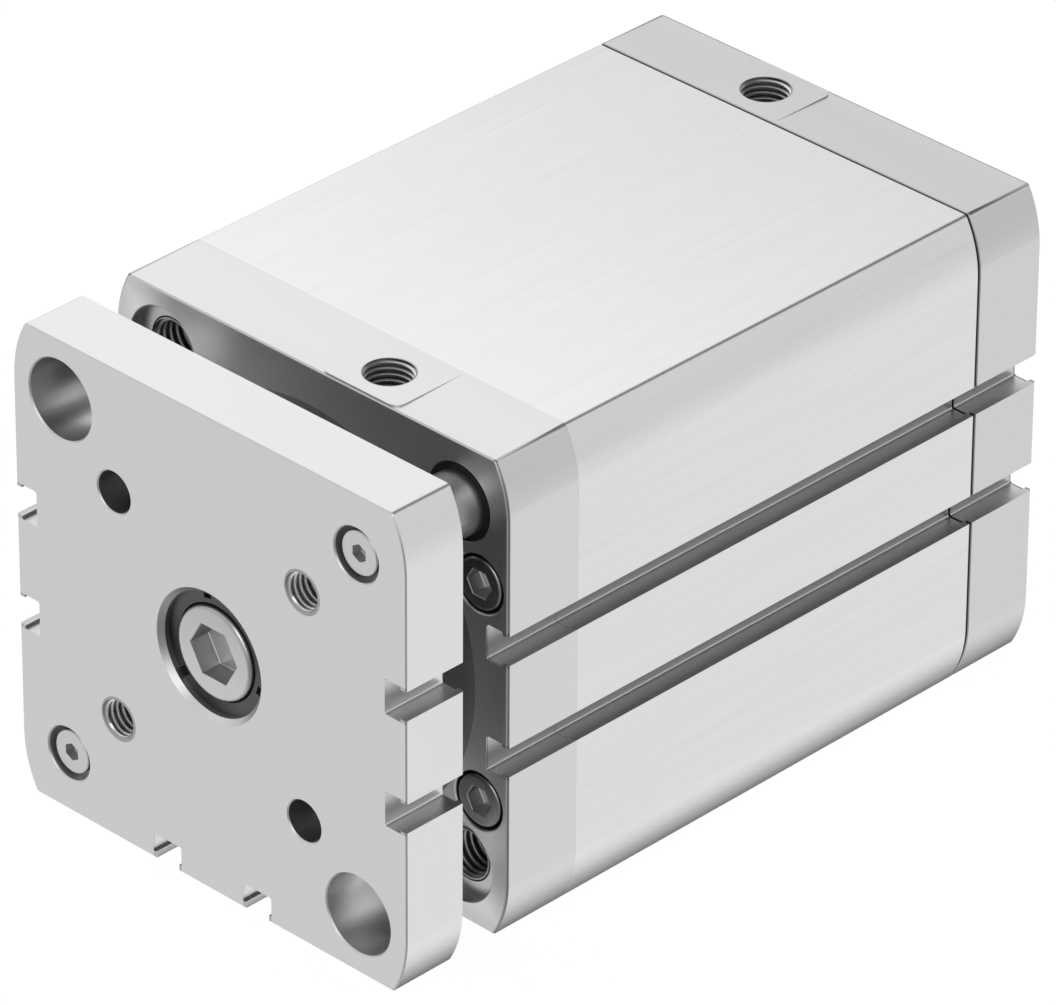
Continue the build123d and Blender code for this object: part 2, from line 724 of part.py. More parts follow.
# Rings on the piston
ring_outer = bore_radius - running_gap
seal_front = half_seam + piston_seal_seat + piston_seal_length
buffer_length = buffer_proud + buffer_seat
piston_rings = {
    "piston_magnet": (half_seam + magnet_length / 2, magnet_length, magnet_outer, magnet_inner),
    "piston_wear_ring": (half_seam + wear_ring_length / 2, wear_ring_length, ring_outer, wear_groove_floor),
    "piston_seal_front": (seal_front, piston_seal_length, ring_outer, seal_groove_floor),
    "piston_seal_rear": (half_seam - piston_seal_seat, piston_seal_length, ring_outer, seal_groove_floor),
    "buffer_front": (piston_front, buffer_length, buffer_outer, buffer_inner),
    "buffer_rear": (half_rear + buffer_seat, buffer_length, buffer_outer, buffer_inner),
}
for label, (front, length, outer, inner) in piston_rings.items():
    export_step(ring(label, front, length, 2 * outer, 2 * inner).part, f"parts/{label}.step")
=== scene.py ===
"""Compact guided pneumatic cylinder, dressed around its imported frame.

Lengths of the object are in millimetres and become metres where a mesh is made. The floor, the
lamp and the camera are placed in metres. The rods run along Y, the yoke plate faces -Y and the
ports open along +Z.
"""
import json
import math

import bmesh
import bpy
import numpy as np
from mathutils import Matrix, Vector


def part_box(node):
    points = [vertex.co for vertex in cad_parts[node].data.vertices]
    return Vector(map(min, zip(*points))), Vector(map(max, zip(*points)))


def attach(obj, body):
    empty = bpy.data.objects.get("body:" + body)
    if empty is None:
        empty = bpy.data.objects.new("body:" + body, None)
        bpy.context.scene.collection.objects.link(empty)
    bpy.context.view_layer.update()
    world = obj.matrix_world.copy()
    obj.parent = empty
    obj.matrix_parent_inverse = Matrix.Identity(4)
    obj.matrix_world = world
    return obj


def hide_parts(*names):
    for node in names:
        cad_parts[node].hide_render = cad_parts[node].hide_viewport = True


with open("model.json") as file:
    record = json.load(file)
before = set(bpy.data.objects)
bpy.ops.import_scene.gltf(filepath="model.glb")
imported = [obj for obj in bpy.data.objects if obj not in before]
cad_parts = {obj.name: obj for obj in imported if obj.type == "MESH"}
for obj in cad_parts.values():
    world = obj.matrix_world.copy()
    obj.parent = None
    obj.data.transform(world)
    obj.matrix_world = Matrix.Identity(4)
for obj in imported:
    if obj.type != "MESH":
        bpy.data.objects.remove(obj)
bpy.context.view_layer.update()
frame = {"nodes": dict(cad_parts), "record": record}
nodes = frame["nodes"]
record = frame["record"]

MM = 0.001
HOUSING = "housing"
MOVING = "rod_assembly"
FORWARD = (0.0, -1.0, 0.0)
REARWARD = (0.0, 1.0, 0.0)
UPWARD = (0.0, 0.0, 1.0)
WHITE = (1.0, 1.0, 1.0, 1.0)


# Places from the frame

def mount_place(name):
    """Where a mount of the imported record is, in millimetres."""
    mount = next(m for m in record["mounts"] if m["name"] == name)
    return np.array(mount["pos_m"]) / MM


def front_of(node):
    """The foremost Y of a CAD node, in millimetres."""
    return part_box(node)[0].y / MM


def rear_of(node):
    """The rearmost Y of a CAD node, in millimetres."""
    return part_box(node)[1].y / MM


def folded(place):
    """A place with the signs of its X and Z dropped."""
    return abs(place[0]), place[1], abs(place[2])


HALF_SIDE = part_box("barrel")[1].x / MM
TOP_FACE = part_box("bearing_cap")[1].z / MM
BARREL_FRONT = front_of("barrel")
BARREL_REAR = rear_of("barrel")
CAP_FRONT = front_of("bearing_cap")
END_CAP_REAR = rear_of("end_cap")
PLATE_FRONT = front_of("yoke_plate")
PLATE_REAR = rear_of("yoke_plate")
HOLE_CORNER = abs(mount_place("front_thread_left")[0])


# Meshes from arrays of points

WELD = 2e-6


def grid_faces(rows, columns, closed):
    """Quads between neighbours in a grid; closed also joins the last column to the first."""
    spans = np.arange(columns if closed else columns - 1)
    row, column = np.meshgrid(np.arange(rows - 1), spans, indexing="ij")
    following = (column + 1) % columns
    corners = (
        row * columns + column,
        row * columns + following,
        (row + 1) * columns + following,
        (row + 1) * columns + column,
    )
    return np.stack([corner.ravel() for corner in corners], axis=1)


def mesh_piece(name, grids, body, sharp_angle=30.0):
    """An object from grids of points, each (points, closed), welded where they meet.

    Faces are turned outwards, and edges sharper than sharp_angle degrees stay crisp.
    """
    points, faces, count = [], [], 0
    for grid, closed in grids:
        rows, columns = grid.shape[:2]
        points.append(grid.reshape(-1, 3) * MM)
        faces.append(grid_faces(rows, columns, closed) + count)
        count += rows * columns
    mesh = bpy.data.meshes.new(name)
    mesh.from_pydata(np.concatenate(points).tolist(), [], np.concatenate(faces).tolist())
    work = bmesh.new()
    work.from_mesh(mesh)
    bmesh.ops.remove_doubles(work, verts=work.verts, dist=WELD)
    bmesh.ops.dissolve_degenerate(work, dist=WELD, edges=work.edges)
    bmesh.ops.recalc_face_normals(work, faces=work.faces)
    work.to_mesh(mesh)
    work.free()
    mesh.polygons.foreach_set("use_smooth", np.ones(len(mesh.polygons), bool))
    mesh.set_sharp_from_angle(angle=math.radians(sharp_angle))
    piece = bpy.data.objects.new(name, mesh)
    bpy.context.scene.collection.objects.link(piece)
    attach(piece, body)
    return piece


def turned(radius, height, angle, origin, axis, turn=0.0):
    """Points at a radius, a height and an angle about an axis through origin.

    The angle starts from turn, counted from +X (from +X in the XZ plane on an axis along Y).
    """
    axis = np.array(axis)
    side = np.array((1.0, 0.0, 0.0))
    up = np.cross(axis, side)
    radius, height, angle = np.broadcast_arrays(radius, height, angle)
    angle = angle + math.radians(turn)
    around = np.cos(angle)[..., None] * side + np.sin(angle)[..., None] * up
    return radius[..., None] * around + height[..., None] * axis + np.asarray(origin)


# Screw threads

CREST = 0.125
ROOT = 0.4375
ROWS_ON_FLANK = 4
LINER_COLUMNS = 96
CREST_BREAK = 0.08
CUT_BACK = 0.5
LINER_SKIN = 0.03


def thread_wave(phase):
    """0 on the crest and 1 on the root of a thread, with straight flanks; phase counts pitches.

    CREST and ROOT are where a flank starts and ends, in pitches from the middle of a crest.
    """
    distance = np.abs(phase - np.round(phase))
    return np.clip((distance - CREST) / (ROOT - CREST), 0, 1)


def helix_grid(top, bottom, pitch, columns):
    """Angles and heights whose rows follow the helix of a thread, held between two heights.

    The height of a row is pitch times (angle / turn - row's phase), so each corner of the profile
    is a row of its own; rows outside the span lie on its end.
    """
    flank = np.linspace(CREST, ROOT, ROWS_ON_FLANK)
    one_pitch = np.concatenate((flank, 1 - flank[::-1]))
    turns = math.ceil((top - bottom) / pitch) + 2
    phase = (np.arange(turns)[:, None] + one_pitch[None, :]).ravel() - 1 - top / pitch
    angle = np.linspace(0, 2 * math.pi, columns + 1)
    height = np.clip(pitch * (angle[None, :] / (2 * math.pi) - phase[:, None]), bottom, top)
    return angle[None, :], height


def thread_liner(name, mouth, axis, body, major, minor, pitch, depth, edge):
    """The cut thread of a hole: radius runs from minor on the crests to major on the roots.

    The liner starts flush with the face around its mouth, where a cone cuts its crests back to
    half their height. Its outer wall lies just inside the hole's own wall and widens over the
    last bit, as the chamfer of the hole, edge, does.
    """
    angle, height = helix_grid(0.0, -depth, pitch, LINER_COLUMNS)
    wave = thread_wave(height / pitch - angle / (2 * math.pi))
    radius = minor + (major - minor) * wave
    cone = minor + (major - minor) * CUT_BACK + CREST_BREAK + height
    radius = np.maximum(radius, np.minimum(major, cone))
    wall = np.full((1, LINER_COLUMNS + 1), major + LINER_SKIN)
    level = np.zeros((1, LINER_COLUMNS + 1))
    radius = np.concatenate((wall + edge, radius, wall, wall, wall + edge))
    height = np.concatenate((level, height, level - depth, level - edge, level))
    grid = turned(radius, height, angle, mouth, axis)
    return mesh_piece(name, [(grid, False)], body)


# Socket-head screws

RIM_STEPS = 7
UNDER_HEAD_EDGE = 0.2
SOCKET_CONE = 0.12
PLAIN_SHANK = 1.5
THREAD_DEPTH = 0.55
CRISP_SCREW = 20.0


def hexagon(apothem, angle):
    """Distance of a hexagon's side from its centre, for angles counted from a corner."""
    sector = np.mod(angle, math.pi / 3) - math.pi / 6
    return apothem / np.cos(sector)


def head_circles(head, key, shank_radius, knurl, columns):
    """Radii and heights of the circles of a screw's head, from its shank to its socket's floor.

    The rim is a quarter of a circle. Past it the radius changes from a circle to a hexagon,
    between the flat face and the bevel of the socket. Every other point of the side lies deeper
    by knurl.
    """
    head_radius, head_height, rim = head
    apothem, key_depth, bevel = key
    angle = np.arange(columns) * 2 * math.pi / columns
    circle = np.ones(columns)
    side = head_radius - knurl * (np.arange(columns) % 2)
    circles = [
        (circle * shank_radius, 0.0),
        (circle * (head_radius - UNDER_HEAD_EDGE), 0.0),
        (circle * (head_radius - knurl), UNDER_HEAD_EDGE),
        (side, 2 * UNDER_HEAD_EDGE),
        (side, head_height - rim - UNDER_HEAD_EDGE),
    ]
    for step in np.linspace(0, math.pi / 2, RIM_STEPS):
        radius = head_radius - rim + rim * math.cos(step)
        circles.append((circle * radius, head_height - rim + rim * math.sin(step)))
    circles.append((circle * (hexagon(apothem + bevel, 0.0) + bevel), head_height))
    socket_floor = head_height - key_depth
    for flat, level in (
        (apothem + bevel, head_height),
        (apothem, head_height - bevel),
        (apothem, socket_floor + bevel),
        (apothem - bevel, socket_floor),
        (0.0, socket_floor - apothem * SOCKET_CONE),
    ):
        circles.append((hexagon(flat, angle), level))
    radius = np.stack([r for r, _ in circles])
    height = np.array([z for _, z in circles])[:, None]
    return radius, height, angle[None, :]


def socket_screw(seat, axis, corner_turn, head, key, shank, knurl=0.0, columns=144):
    """Grids of a screw: a threaded shank below its seat, and a head with a rounded rim above it.

    head is (radius, height, rim), key is (apothem, depth, bevel) and shank is (radius, length,
    pitch). The thread runs out towards the head, and the point ends in a cone.
    """
    shank_radius, shank_length, pitch = shank
    top = turned(*head_circles(head, key, shank_radius, knurl, columns), seat, axis, corner_turn)
    turns, drop = helix_grid(-PLAIN_SHANK, -shank_length, pitch, columns)
    wave = thread_wave(drop / pitch - turns / (2 * math.pi))
    depth = pitch * THREAD_DEPTH
    point = np.clip(depth - (drop + shank_length), 0, depth)
    run_out = np.clip((-PLAIN_SHANK - drop) / depth, 0, 1)
    wall = shank_radius - np.maximum(wave * depth * run_out, point)
    collar = np.full((1, columns + 1), shank_radius)
    wall = np.concatenate((collar, wall, 0 * collar))
    drop = np.concatenate((0 * collar, drop, 0 * collar - shank_length))
    bottom = turned(wall, drop, turns, seat, axis, corner_turn)
    return [(top, True), (bottom, False)]


def screws_piece(name, node, body, seats, **screw):
    """One piece with a screw at each seat, which stands for the CAD node."""
    grids = []
    for seat in seats:
        grids += socket_screw(seat, **screw)
    piece = mesh_piece(name, grids, body, sharp_angle=CRISP_SCREW)
    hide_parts(node)
    return piece


# Node trees

def put(tree, value, target):
    """Gives an input its value: a link from a socket, or a plain number or vector."""
    if isinstance(value, bpy.types.NodeSocket):
        tree.links.new(value, target)
    else:
        target.default_value = value


def group_of(name, inputs, outputs):
    """A shader node group with named sockets; returns the tree and its input and output nodes.

    inputs are pairs of a label and its first value, a number or a vector; outputs are labels of
    numbers.
    """
    tree = bpy.data.node_groups.new(name, "ShaderNodeTree")
    for label, value in inputs:
        kind = "NodeSocketVector" if isinstance(value, tuple) else "NodeSocketFloat"
        socket = tree.interface.new_socket(name=label, in_out="INPUT", socket_type=kind)
        socket.default_value = value
    for label in outputs:
        tree.interface.new_socket(name=label, in_out="OUTPUT", socket_type="NodeSocketFloat")
    return tree, tree.nodes.new("NodeGroupInput"), tree.nodes.new("NodeGroupOutput")


def object_place(tree):
    """The Object coordinates of a material, in metres."""
    return tree.nodes.new("ShaderNodeTexCoord").outputs["Object"]


def math_node(tree, operation, *values):
    """A Math node on sockets or numbers; returns its output."""
    node = tree.nodes.new("ShaderNodeMath")
    node.operation = operation
    for value, target in zip(values, node.inputs):
        put(tree, value, target)
    return node.outputs[0]


def vector_node(tree, operation, *values):
    """A Vector Math node on sockets or vectors; returns its vector, or its value where it has one."""
    node = tree.nodes.new("ShaderNodeVectorMath")
    node.operation = operation
    for value, target in zip(values, node.inputs):
        put(tree, value, target)
    return node.outputs["Value" if operation in ("LENGTH", "DOT_PRODUCT") else "Vector"]


def split_axes(tree, vector):
    """The X, Y and Z of a vector."""
    node = tree.nodes.new("ShaderNodeSeparateXYZ")
    put(tree, vector, node.inputs[0])
    return node.outputs["X"], node.outputs["Y"], node.outputs["Z"]


def place_axes(tree):
    """The Object coordinates X, Y and Z of a material, in millimetres."""
    per_metre = (1 / MM, 1 / MM, 1 / MM)
    return split_axes(tree, vector_node(tree, "MULTIPLY", object_place(tree), per_metre))


def join_axes(tree, x, y, z=0.0):
    """The vector with an X, a Y and a Z."""
    node = tree.nodes.new("ShaderNodeCombineXYZ")
    for value, target in zip((x, y, z), node.inputs):
        put(tree, value, target)
    return node.outputs[0]


def noise_node(tree, vector, scale, detail, roughness=0.5):
    """A noise texture on a vector; returns its value."""
    node = tree.nodes.new("ShaderNodeTexNoise")
    node.inputs["Detail"].default_value = detail
    node.inputs["Roughness"].default_value = roughness
    put(tree, scale, node.inputs["Scale"])
    put(tree, vector, node.inputs["Vector"])
    return node.outputs["Fac"]


def mix_shaders(tree, factor, first, second):
    """The first shader where factor is 0, the second where it is 1."""
    node = tree.nodes.new("ShaderNodeMixShader")
    for value, target in zip((factor, first, second), node.inputs):
        put(tree, value, target)
    return node.outputs[0]


def make_brushing():
    """Long fine scratches: noise on coordinates stretched along the brushing, in two widths."""
    inputs = [("Stretch", (1.0, 1.0, 1.0)), ("Fine", 900.0), ("Broad", 120.0)]
    tree, given, result = group_of("Brushing", inputs, ["Lines", "Bands"])
    place = vector_node(tree, "MULTIPLY", object_place(tree), given.outputs["Stretch"])
    lines = noise_node(tree, place, given.outputs["Fine"], 3.0, 0.7)
    bands = noise_node(tree, place, given.outputs["Broad"], 2.0)
    put(tree, lines, result.inputs["Lines"])
    put(tree, bands, result.inputs["Bands"])
    return tree


def make_satin():
    """The matt grain of an anodised face: a fine even noise, and a slow cloudy one."""
    inputs = [("Grain size", 4000.0), ("Cloud size", 25.0)]
    tree, given, result = group_of("Satin", inputs, ["Grain", "Cloud"])
    place = object_place(tree)
    for label in ("Grain", "Cloud"):
        noise = noise_node(tree, place, given.outputs[f"{label} size"], 2.0)
        put(tree, noise, result.inputs[label])
    return tree


def make_turning():
    """Marks of a lathe: noise of the distance from the Y axis and of the place along it."""
    tree, given, result = group_of("Turning", [("Rings", 3000.0)], ["Marks"])
    x, y, z = split_axes(tree, object_place(tree))
    squares = math_node(tree, "MULTIPLY_ADD", x, x, math_node(tree, "MULTIPLY", z, z))
    distance = math_node(tree, "SQRT", squares)
    marks = noise_node(tree, join_axes(tree, distance, y), given.outputs["Rings"], 2.0, 0.6)
    put(tree, marks, result.inputs["Marks"])
    return tree


def make_hole():
    """How far a point is from the axis of a hole, and how deep below its mouth, in millimetres.

    Holes lie in pairs or fours around the middle, so the sign of X and Z is dropped first. With p
    from the mouth's centre, the depth is -p . axis and the radius is the length of p x axis.
    """
    inputs = [("Mouth", (0.0, 0.0, 0.0)), ("Axis", FORWARD)]
    tree, given, result = group_of("Hole", inputs, ["Radius", "Depth"])
    x, y, z = place_axes(tree)
    place = join_axes(tree, math_node(tree, "ABSOLUTE", x), y, math_node(tree, "ABSOLUTE", z))
    apart = vector_node(tree, "SUBTRACT", place, given.outputs["Mouth"])
    across = vector_node(tree, "CROSS_PRODUCT", apart, given.outputs["Axis"])
    along = vector_node(tree, "DOT_PRODUCT", apart, given.outputs["Axis"])
    put(tree, vector_node(tree, "LENGTH", across), result.inputs["Radius"])
    put(tree, math_node(tree, "MULTIPLY", along, -1.0), result.inputs["Depth"])
    return tree


GROUPS = {
    "Brushing": make_brushing(),
    "Satin": make_satin(),
    "Turning": make_turning(),
    "Hole": make_hole(),
}


def use_group(tree, name, **values):
    """Places a shared group in a material, with its own values; _ in a name stands for a space."""
    node = tree.nodes.new("ShaderNodeGroup")
    node.node_tree = GROUPS[name]
    for label, value in values.items():
        put(tree, value, node.inputs[label.replace("_", " ")])
    return node.outputs


def new_material(name, metallic, roughness, specular=0.5):
    """A Principled material; returns (material, tree, shader)."""
    material = bpy.data.materials.new(name)
    material.use_nodes = True
    tree = material.node_tree
    shader = tree.nodes["Principled BSDF"]
    shader.inputs["Metallic"].default_value = metallic
    shader.inputs["Roughness"].default_value = roughness
    shader.inputs["Specular IOR Level"].default_value = specular
    return material, tree, shader


def dress(tree, shader, color, tone, level, unevenness, height, depth):
    """Gives a shader its color, roughness and relief.

    The color is made lighter or darker by 1 + tone, the roughness is level plus unevenness, and
    height moves the surface by depth, in metres.
    """
    scaled = tree.nodes.new("ShaderNodeVectorMath")
    scaled.operation = "SCALE"
    scaled.inputs[0].default_value = color
    put(tree, math_node(tree, "ADD", tone, 1.0), scaled.inputs["Scale"])
    put(tree, scaled.outputs[0], shader.inputs["Base Color"])
    put(tree, math_node(tree, "ADD", unevenness, level), shader.inputs["Roughness"])
    bump = tree.nodes.new("ShaderNodeBump")
    bump.inputs["Distance"].default_value = depth
    put(tree, height, bump.inputs["Height"])
    put(tree, bump.outputs["Normal"], shader.inputs["Normal"])


# Tones by place: painted light and shade, and dark joints

def product(tree, first, *others):
    """The product of sockets or numbers."""
    for value in others:
        first = math_node(tree, "MULTIPLY", first, value)
    return first


def add_up(tree, first, *others):
    """The sum of sockets or numbers."""
    for value in others:
        first = math_node(tree, "ADD", first, value)
    return first


def centred(tree, value, strength):
    """(value - 0.5) times strength."""
    return math_node(tree, "MULTIPLY", math_node(tree, "SUBTRACT", value, 0.5), strength)


def ramp(tree, value, start, end, low=0.0, high=1.0):
    """Goes from low to high as a value goes from start to end."""
    node = tree.nodes.new("ShaderNodeMapRange")
    put(tree, value, node.inputs["Value"])
    for label, number in zip(("From Min", "From Max", "To Min", "To Max"), (start, end, low, high)):
        node.inputs[label].default_value = number
    return node.outputs["Result"]


def band(tree, value, low, high, soft):
    """1 where a value lies between low and high, with soft ends."""
    rise = ramp(tree, value, low - soft, low)
    fall = ramp(tree, value, high, high + soft)
    return math_node(tree, "SUBTRACT", rise, fall)


def around_axis(tree, mouth, axis):
    """The radius and the depth of a point in a hole with its mouth at a place."""
    hole = use_group(tree, "Hole", Mouth=mouth, Axis=axis)
    return hole["Radius"], hole["Depth"]


SLOT_NEAR = 7.7
SLOT_FAR = 14.7
SLOT_DEPTH = 5.1
CORNER_RISE = 11.6
CORNER_START = HALF_SIDE - CORNER_RISE
FACE_EDGE = 0.4
SEAM_FRONT = BARREL_REAR - 0.02
SEAM_REAR = BARREL_REAR + 0.62
SEAM_TONE = -0.85
SEAM_RELIEF_IN_SLOTS = 0.5
JOINT_TONE = -0.2
# more painted shade on the joint line inside the slots
JOINT_SHADE_IN_SLOTS = -0.45
JOINT_WIDTH = 0.1
# painted light falloff along the top, from rear to front
TOP_LIGHT_FALLOFF = (-0.12, 0.08)
# painted light, then painted shade, on the rounded corners underneath
LOW_CORNER_LIGHT_AND_SHADE = (0.22, -0.5)
# painted shade on the caps' rounded corners above
HIGH_CORNER_SHADE = -0.06
# painted shade along the caps' ridges
RIDGE_SHADE = -0.4
# painted shade in the thin chamfer lines around the outline
EDGE_SHADE = -0.5
# painted shade in the slots, at their floor and at their mouth
BARREL_SLOT_TONES = (-0.16, -0.42)
CAP_SLOT_TONES = (-0.06, -0.24)
PLATE_SLOT_TONES = (0.0, -0.34)


def in_slots(tree):
    """1 inside the sensor slots, 0 on the outline of the body."""
    x, _, z = place_axes(tree)
    side = math_node(tree, "ABSOLUTE", x)
    high = math_node(tree, "ABSOLUTE", z)
    outward = math_node(tree, "MAXIMUM", side, high)
    across = math_node(tree, "MINIMUM", side, high)
    deep = ramp(tree, outward, HALF_SIDE - 0.6, HALF_SIDE - 0.3, 1.0, 0.0)
    middle = ramp(tree, across, SLOT_FAR + 0.5, SLOT_FAR + 0.9, 1.0, 0.0)
    return product(tree, deep, middle)


def slot_shade(tree, floor, mouth):
    """Painted shade inside the sensor slots of the sides and underneath, from their floor to their
    mouth.

    Seen from the middle of the body, a slot is a band of one coordinate at a depth of the other.
    """
    x, _, z = place_axes(tree)
    side = math_node(tree, "ABSOLUTE", x)
    high = math_node(tree, "ABSOLUTE", z)
    below = math_node(tree, "MULTIPLY", z, -1.0)
    parts = []
    for outward, across in ((side, high), (below, side)):
        row = band(tree, across, SLOT_NEAR, SLOT_FAR, 0.08)
        inside = band(tree, outward, HALF_SIDE - SLOT_DEPTH, HALF_SIDE - 0.06, 0.05)
        tone = ramp(tree, outward, HALF_SIDE - SLOT_DEPTH, HALF_SIDE, floor, mouth)
        parts.append(product(tree, row, inside, tone))
    return add_up(tree, *parts)


def with_seam(tree, tone):
    """A tone with the dark slit between barrel and end cap laid over it, less dark in the slots.

    The result is (1 + tone) (1 + seam) - 1.
    """
    _, y, _ = place_axes(tree)
    slit = band(tree, y, SEAM_FRONT, SEAM_REAR, 0.05)
    amount = math_node(tree, "MULTIPLY_ADD", in_slots(tree), SEAM_RELIEF_IN_SLOTS, SEAM_TONE)
    seam = product(tree, slit, amount)
    return math_node(tree, "MULTIPLY_ADD", tone, add_up(tree, seam, 1.0), seam)


def joint_line(tree):
    """A thin dark line where bearing cap and barrel meet, with more painted shade in the slots."""
    _, y, _ = place_axes(tree)
    line = band(tree, y, BARREL_FRONT, BARREL_FRONT, JOINT_WIDTH)
    amount = math_node(tree, "MULTIPLY_ADD", in_slots(tree), JOINT_SHADE_IN_SLOTS, JOINT_TONE)
    return product(tree, line, amount)


def top_shade(tree):
    """Painted light falloff: the flat top is a little darker at the rear than in front."""
    _, y, z = place_axes(tree)
    top = ramp(tree, z, HALF_SIDE - 0.5, HALF_SIDE - 0.2)
    return product(tree, top, ramp(tree, y, END_CAP_REAR, CAP_FRONT, *TOP_LIGHT_FALLOFF))


def low_corner_shade(tree, front, rear):
    """Painted light where the two rounded corners underneath leave the sides, then painted shade.

    The tone lies between a part's front and rear face, not on them.
    """
    _, y, z = place_axes(tree)
    below = math_node(tree, "MULTIPLY", z, -1.0)
    light, dark = LOW_CORNER_LIGHT_AND_SHADE
    light = ramp(tree, below, CORNER_START, CORNER_START + 6.0, 0.0, light)
    dark = ramp(tree, below, CORNER_START + 8.8, HALF_SIDE, 0.0, dark)
    along = band(tree, y, front + FACE_EDGE, rear - FACE_EDGE, 0.2)
    return product(tree, add_up(tree, light, dark), along)


def high_corner_shade(tree):
    """Painted shade makes the rounded corners of the caps above a little darker than their sides."""
    _, y, z = place_axes(tree)
    arc = band(tree, z, CORNER_START + 2.0, HALF_SIDE - 0.7, 0.1)
    along = band(tree, y, CAP_FRONT + FACE_EDGE, END_CAP_REAR - FACE_EDGE, 0.2)
    return product(tree, arc, along, HIGH_CORNER_SHADE)


def ridge_shade_line(tree):
    """A line of painted shade along the rounded ridges between the caps' top and their sides."""
    x, _, z = place_axes(tree)
    line = band(tree, math_node(tree, "ABSOLUTE", x), HALF_SIDE - 3.6, HALF_SIDE - 3.1, 0.15)
    high = ramp(tree, z, HALF_SIDE - 0.6, HALF_SIDE - 0.5)
    return product(tree, line, high, RIDGE_SHADE)


def edge_shade_lines(tree, front, rear):
    """Thin lines of painted shade around a part's outline, in the chamfers of its front and its rear
    face.
    """
    _, y, _ = place_axes(tree)
    before = band(tree, y, front + 0.2, front + 0.36, 0.06)
    behind = band(tree, y, rear - 0.36, rear - 0.12, 0.06)
    return product(tree, add_up(tree, before, behind), EDGE_SHADE)


def body_shades(tree):
    """The joint line and the painted light and shade that the barrel and the caps share."""
    return joint_line(tree), top_shade(tree), low_corner_shade(tree, CAP_FRONT, END_CAP_REAR)


RECESS_RADIUS = 39.753
RIM_WIDTH = 0.25
# Painted light on the cap's front, a painted highlight along the recess rim, painted shade on its
# floor
FADE_START = 36.0
FRONT_LIGHT_END = 46.0
FRONT_LIGHT_TONE = 0.7
RIM_HIGHLIGHT = 0.3
RECESS_SHADE_TONES = (-0.25, -0.05)
END_CAP_TONE = -0.04


def cap_shade(tree):
    """Painted light brightens the cap's front, most in its middle; the end cap is a little darker.

    A thin painted highlight runs along the rim of the round recess, whose floor has painted shade.
    """
    x, y, z = place_axes(tree)
    on_front = ramp(tree, y, CAP_FRONT + 0.04, CAP_FRONT + 0.1, 1.0, 0.0)
    side, high = math_node(tree, "ABSOLUTE", x), math_node(tree, "ABSOLUTE", z)
    reach = math_node(tree, "MAXIMUM", side, high)
    bright = ramp(tree, reach, FADE_START, FRONT_LIGHT_END, FRONT_LIGHT_TONE, 0.0)
    radius, _ = around_axis(tree, (0.0, CAP_FRONT, 0.0), FORWARD)
    rim = band(tree, radius, RECESS_RADIUS, RECESS_RADIUS + RIM_WIDTH, 0.12)
    front_light = product(tree, on_front, math_node(tree, "MULTIPLY_ADD", rim, RIM_HIGHLIGHT, bright))
    on_floor = ramp(tree, y, CAP_FRONT + 0.5, CAP_FRONT + 0.6)
    in_recess = ramp(tree, radius, RECESS_RADIUS + 0.1, RECESS_RADIUS)
    recess_shade = ramp(tree, radius, FADE_START, RECESS_RADIUS - 0.1, *RECESS_SHADE_TONES)
    tone = add_up(
        tree,
        front_light,
        product(tree, on_floor, in_recess, recess_shade),
        *body_shades(tree),
        ridge_shade_line(tree),
        edge_shade_lines(tree, CAP_FRONT, END_CAP_REAR),
        high_corner_shade(tree),
        ramp(tree, y, SEAM_REAR, SEAM_REAR + 0.1, 0.0, END_CAP_TONE),
        slot_shade(tree, *CAP_SLOT_TONES),
    )
    return with_seam(tree, tone)


# Painted light on the rear face, painted light and shade on the centre chamfer, painted shade on hole
# walls
PLATE_REAR_LIGHT = 0.2
CHAMFER_RADII = (11.9, 12.85)
CHAMFER_HEIGHTS = (-9.0, 1.0)
CHAMFER_LIGHT_AND_SHADE = (0.12, -0.36)
WALLS = (("access_hole_right", 7.7, -0.15), ("yoke_dowel_right", 4.0, -0.25))


def plate_shade(tree):
    """Painted light on the plate's rear face, painted shade on its access and dowel hole walls.

    The chamfer around its centre bore has painted light below and painted shade above. WALLS
    has the mount of a hole, the radius of its wall and the wall's painted shade.
    """
    _, y, z = place_axes(tree)
    radius, depth = around_axis(tree, (0.0, PLATE_FRONT, 0.0), FORWARD)
    ring = band(tree, radius, *CHAMFER_RADII, 0.05)
    sloping = ramp(tree, depth, 0.05, 0.1)
    tones = [
        ramp(tree, y, PLATE_REAR - 0.1, PLATE_REAR - 0.04, 0.0, PLATE_REAR_LIGHT),
        low_corner_shade(tree, PLATE_FRONT, PLATE_REAR),
        product(tree, ring, sloping, ramp(tree, z, *CHAMFER_HEIGHTS, *CHAMFER_LIGHT_AND_SHADE)),
        slot_shade(tree, *PLATE_SLOT_TONES),
    ]
    for mount, wall, amount in WALLS:
        across, _, high = folded(mount_place(mount))
        radius, depth = around_axis(tree, (across, PLATE_FRONT, high), FORWARD)
        on_wall = band(tree, radius, wall - 0.05, wall + 0.05, 0.1)
        inside = band(tree, depth, 0.35, PLATE_REAR - PLATE_FRONT - 0.5, 0.1)
        tones.append(product(tree, on_wall, inside, amount))
    return add_up(tree, *tones)


# painted shade on the thread roots, deeper in, and at the mouth
ROOT_SHADE = -0.8
DEPTH_SHADE = -0.4
MOUTH_SHADE = -0.45


def thread_shade(mouth, axis, crest, root, deep, light):
    """Painted light on a cut thread's crests, painted shade on its roots and from its mouth inwards.
    """
    def shade(tree):
        radius, depth = around_axis(tree, mouth, axis)
        cuts = ramp(tree, radius, crest + 0.1, root, light, ROOT_SHADE)
        inward = ramp(tree, depth, 0.05, 0.4)
        dark = ramp(tree, depth, 0.0, deep, 0.0, DEPTH_SHADE)
        cone = product(tree, band(tree, depth, -0.05, 0.5, 0.05), MOUTH_SHADE)
        return add_up(tree, product(tree, cuts, inward), dark, cone)
    return shade


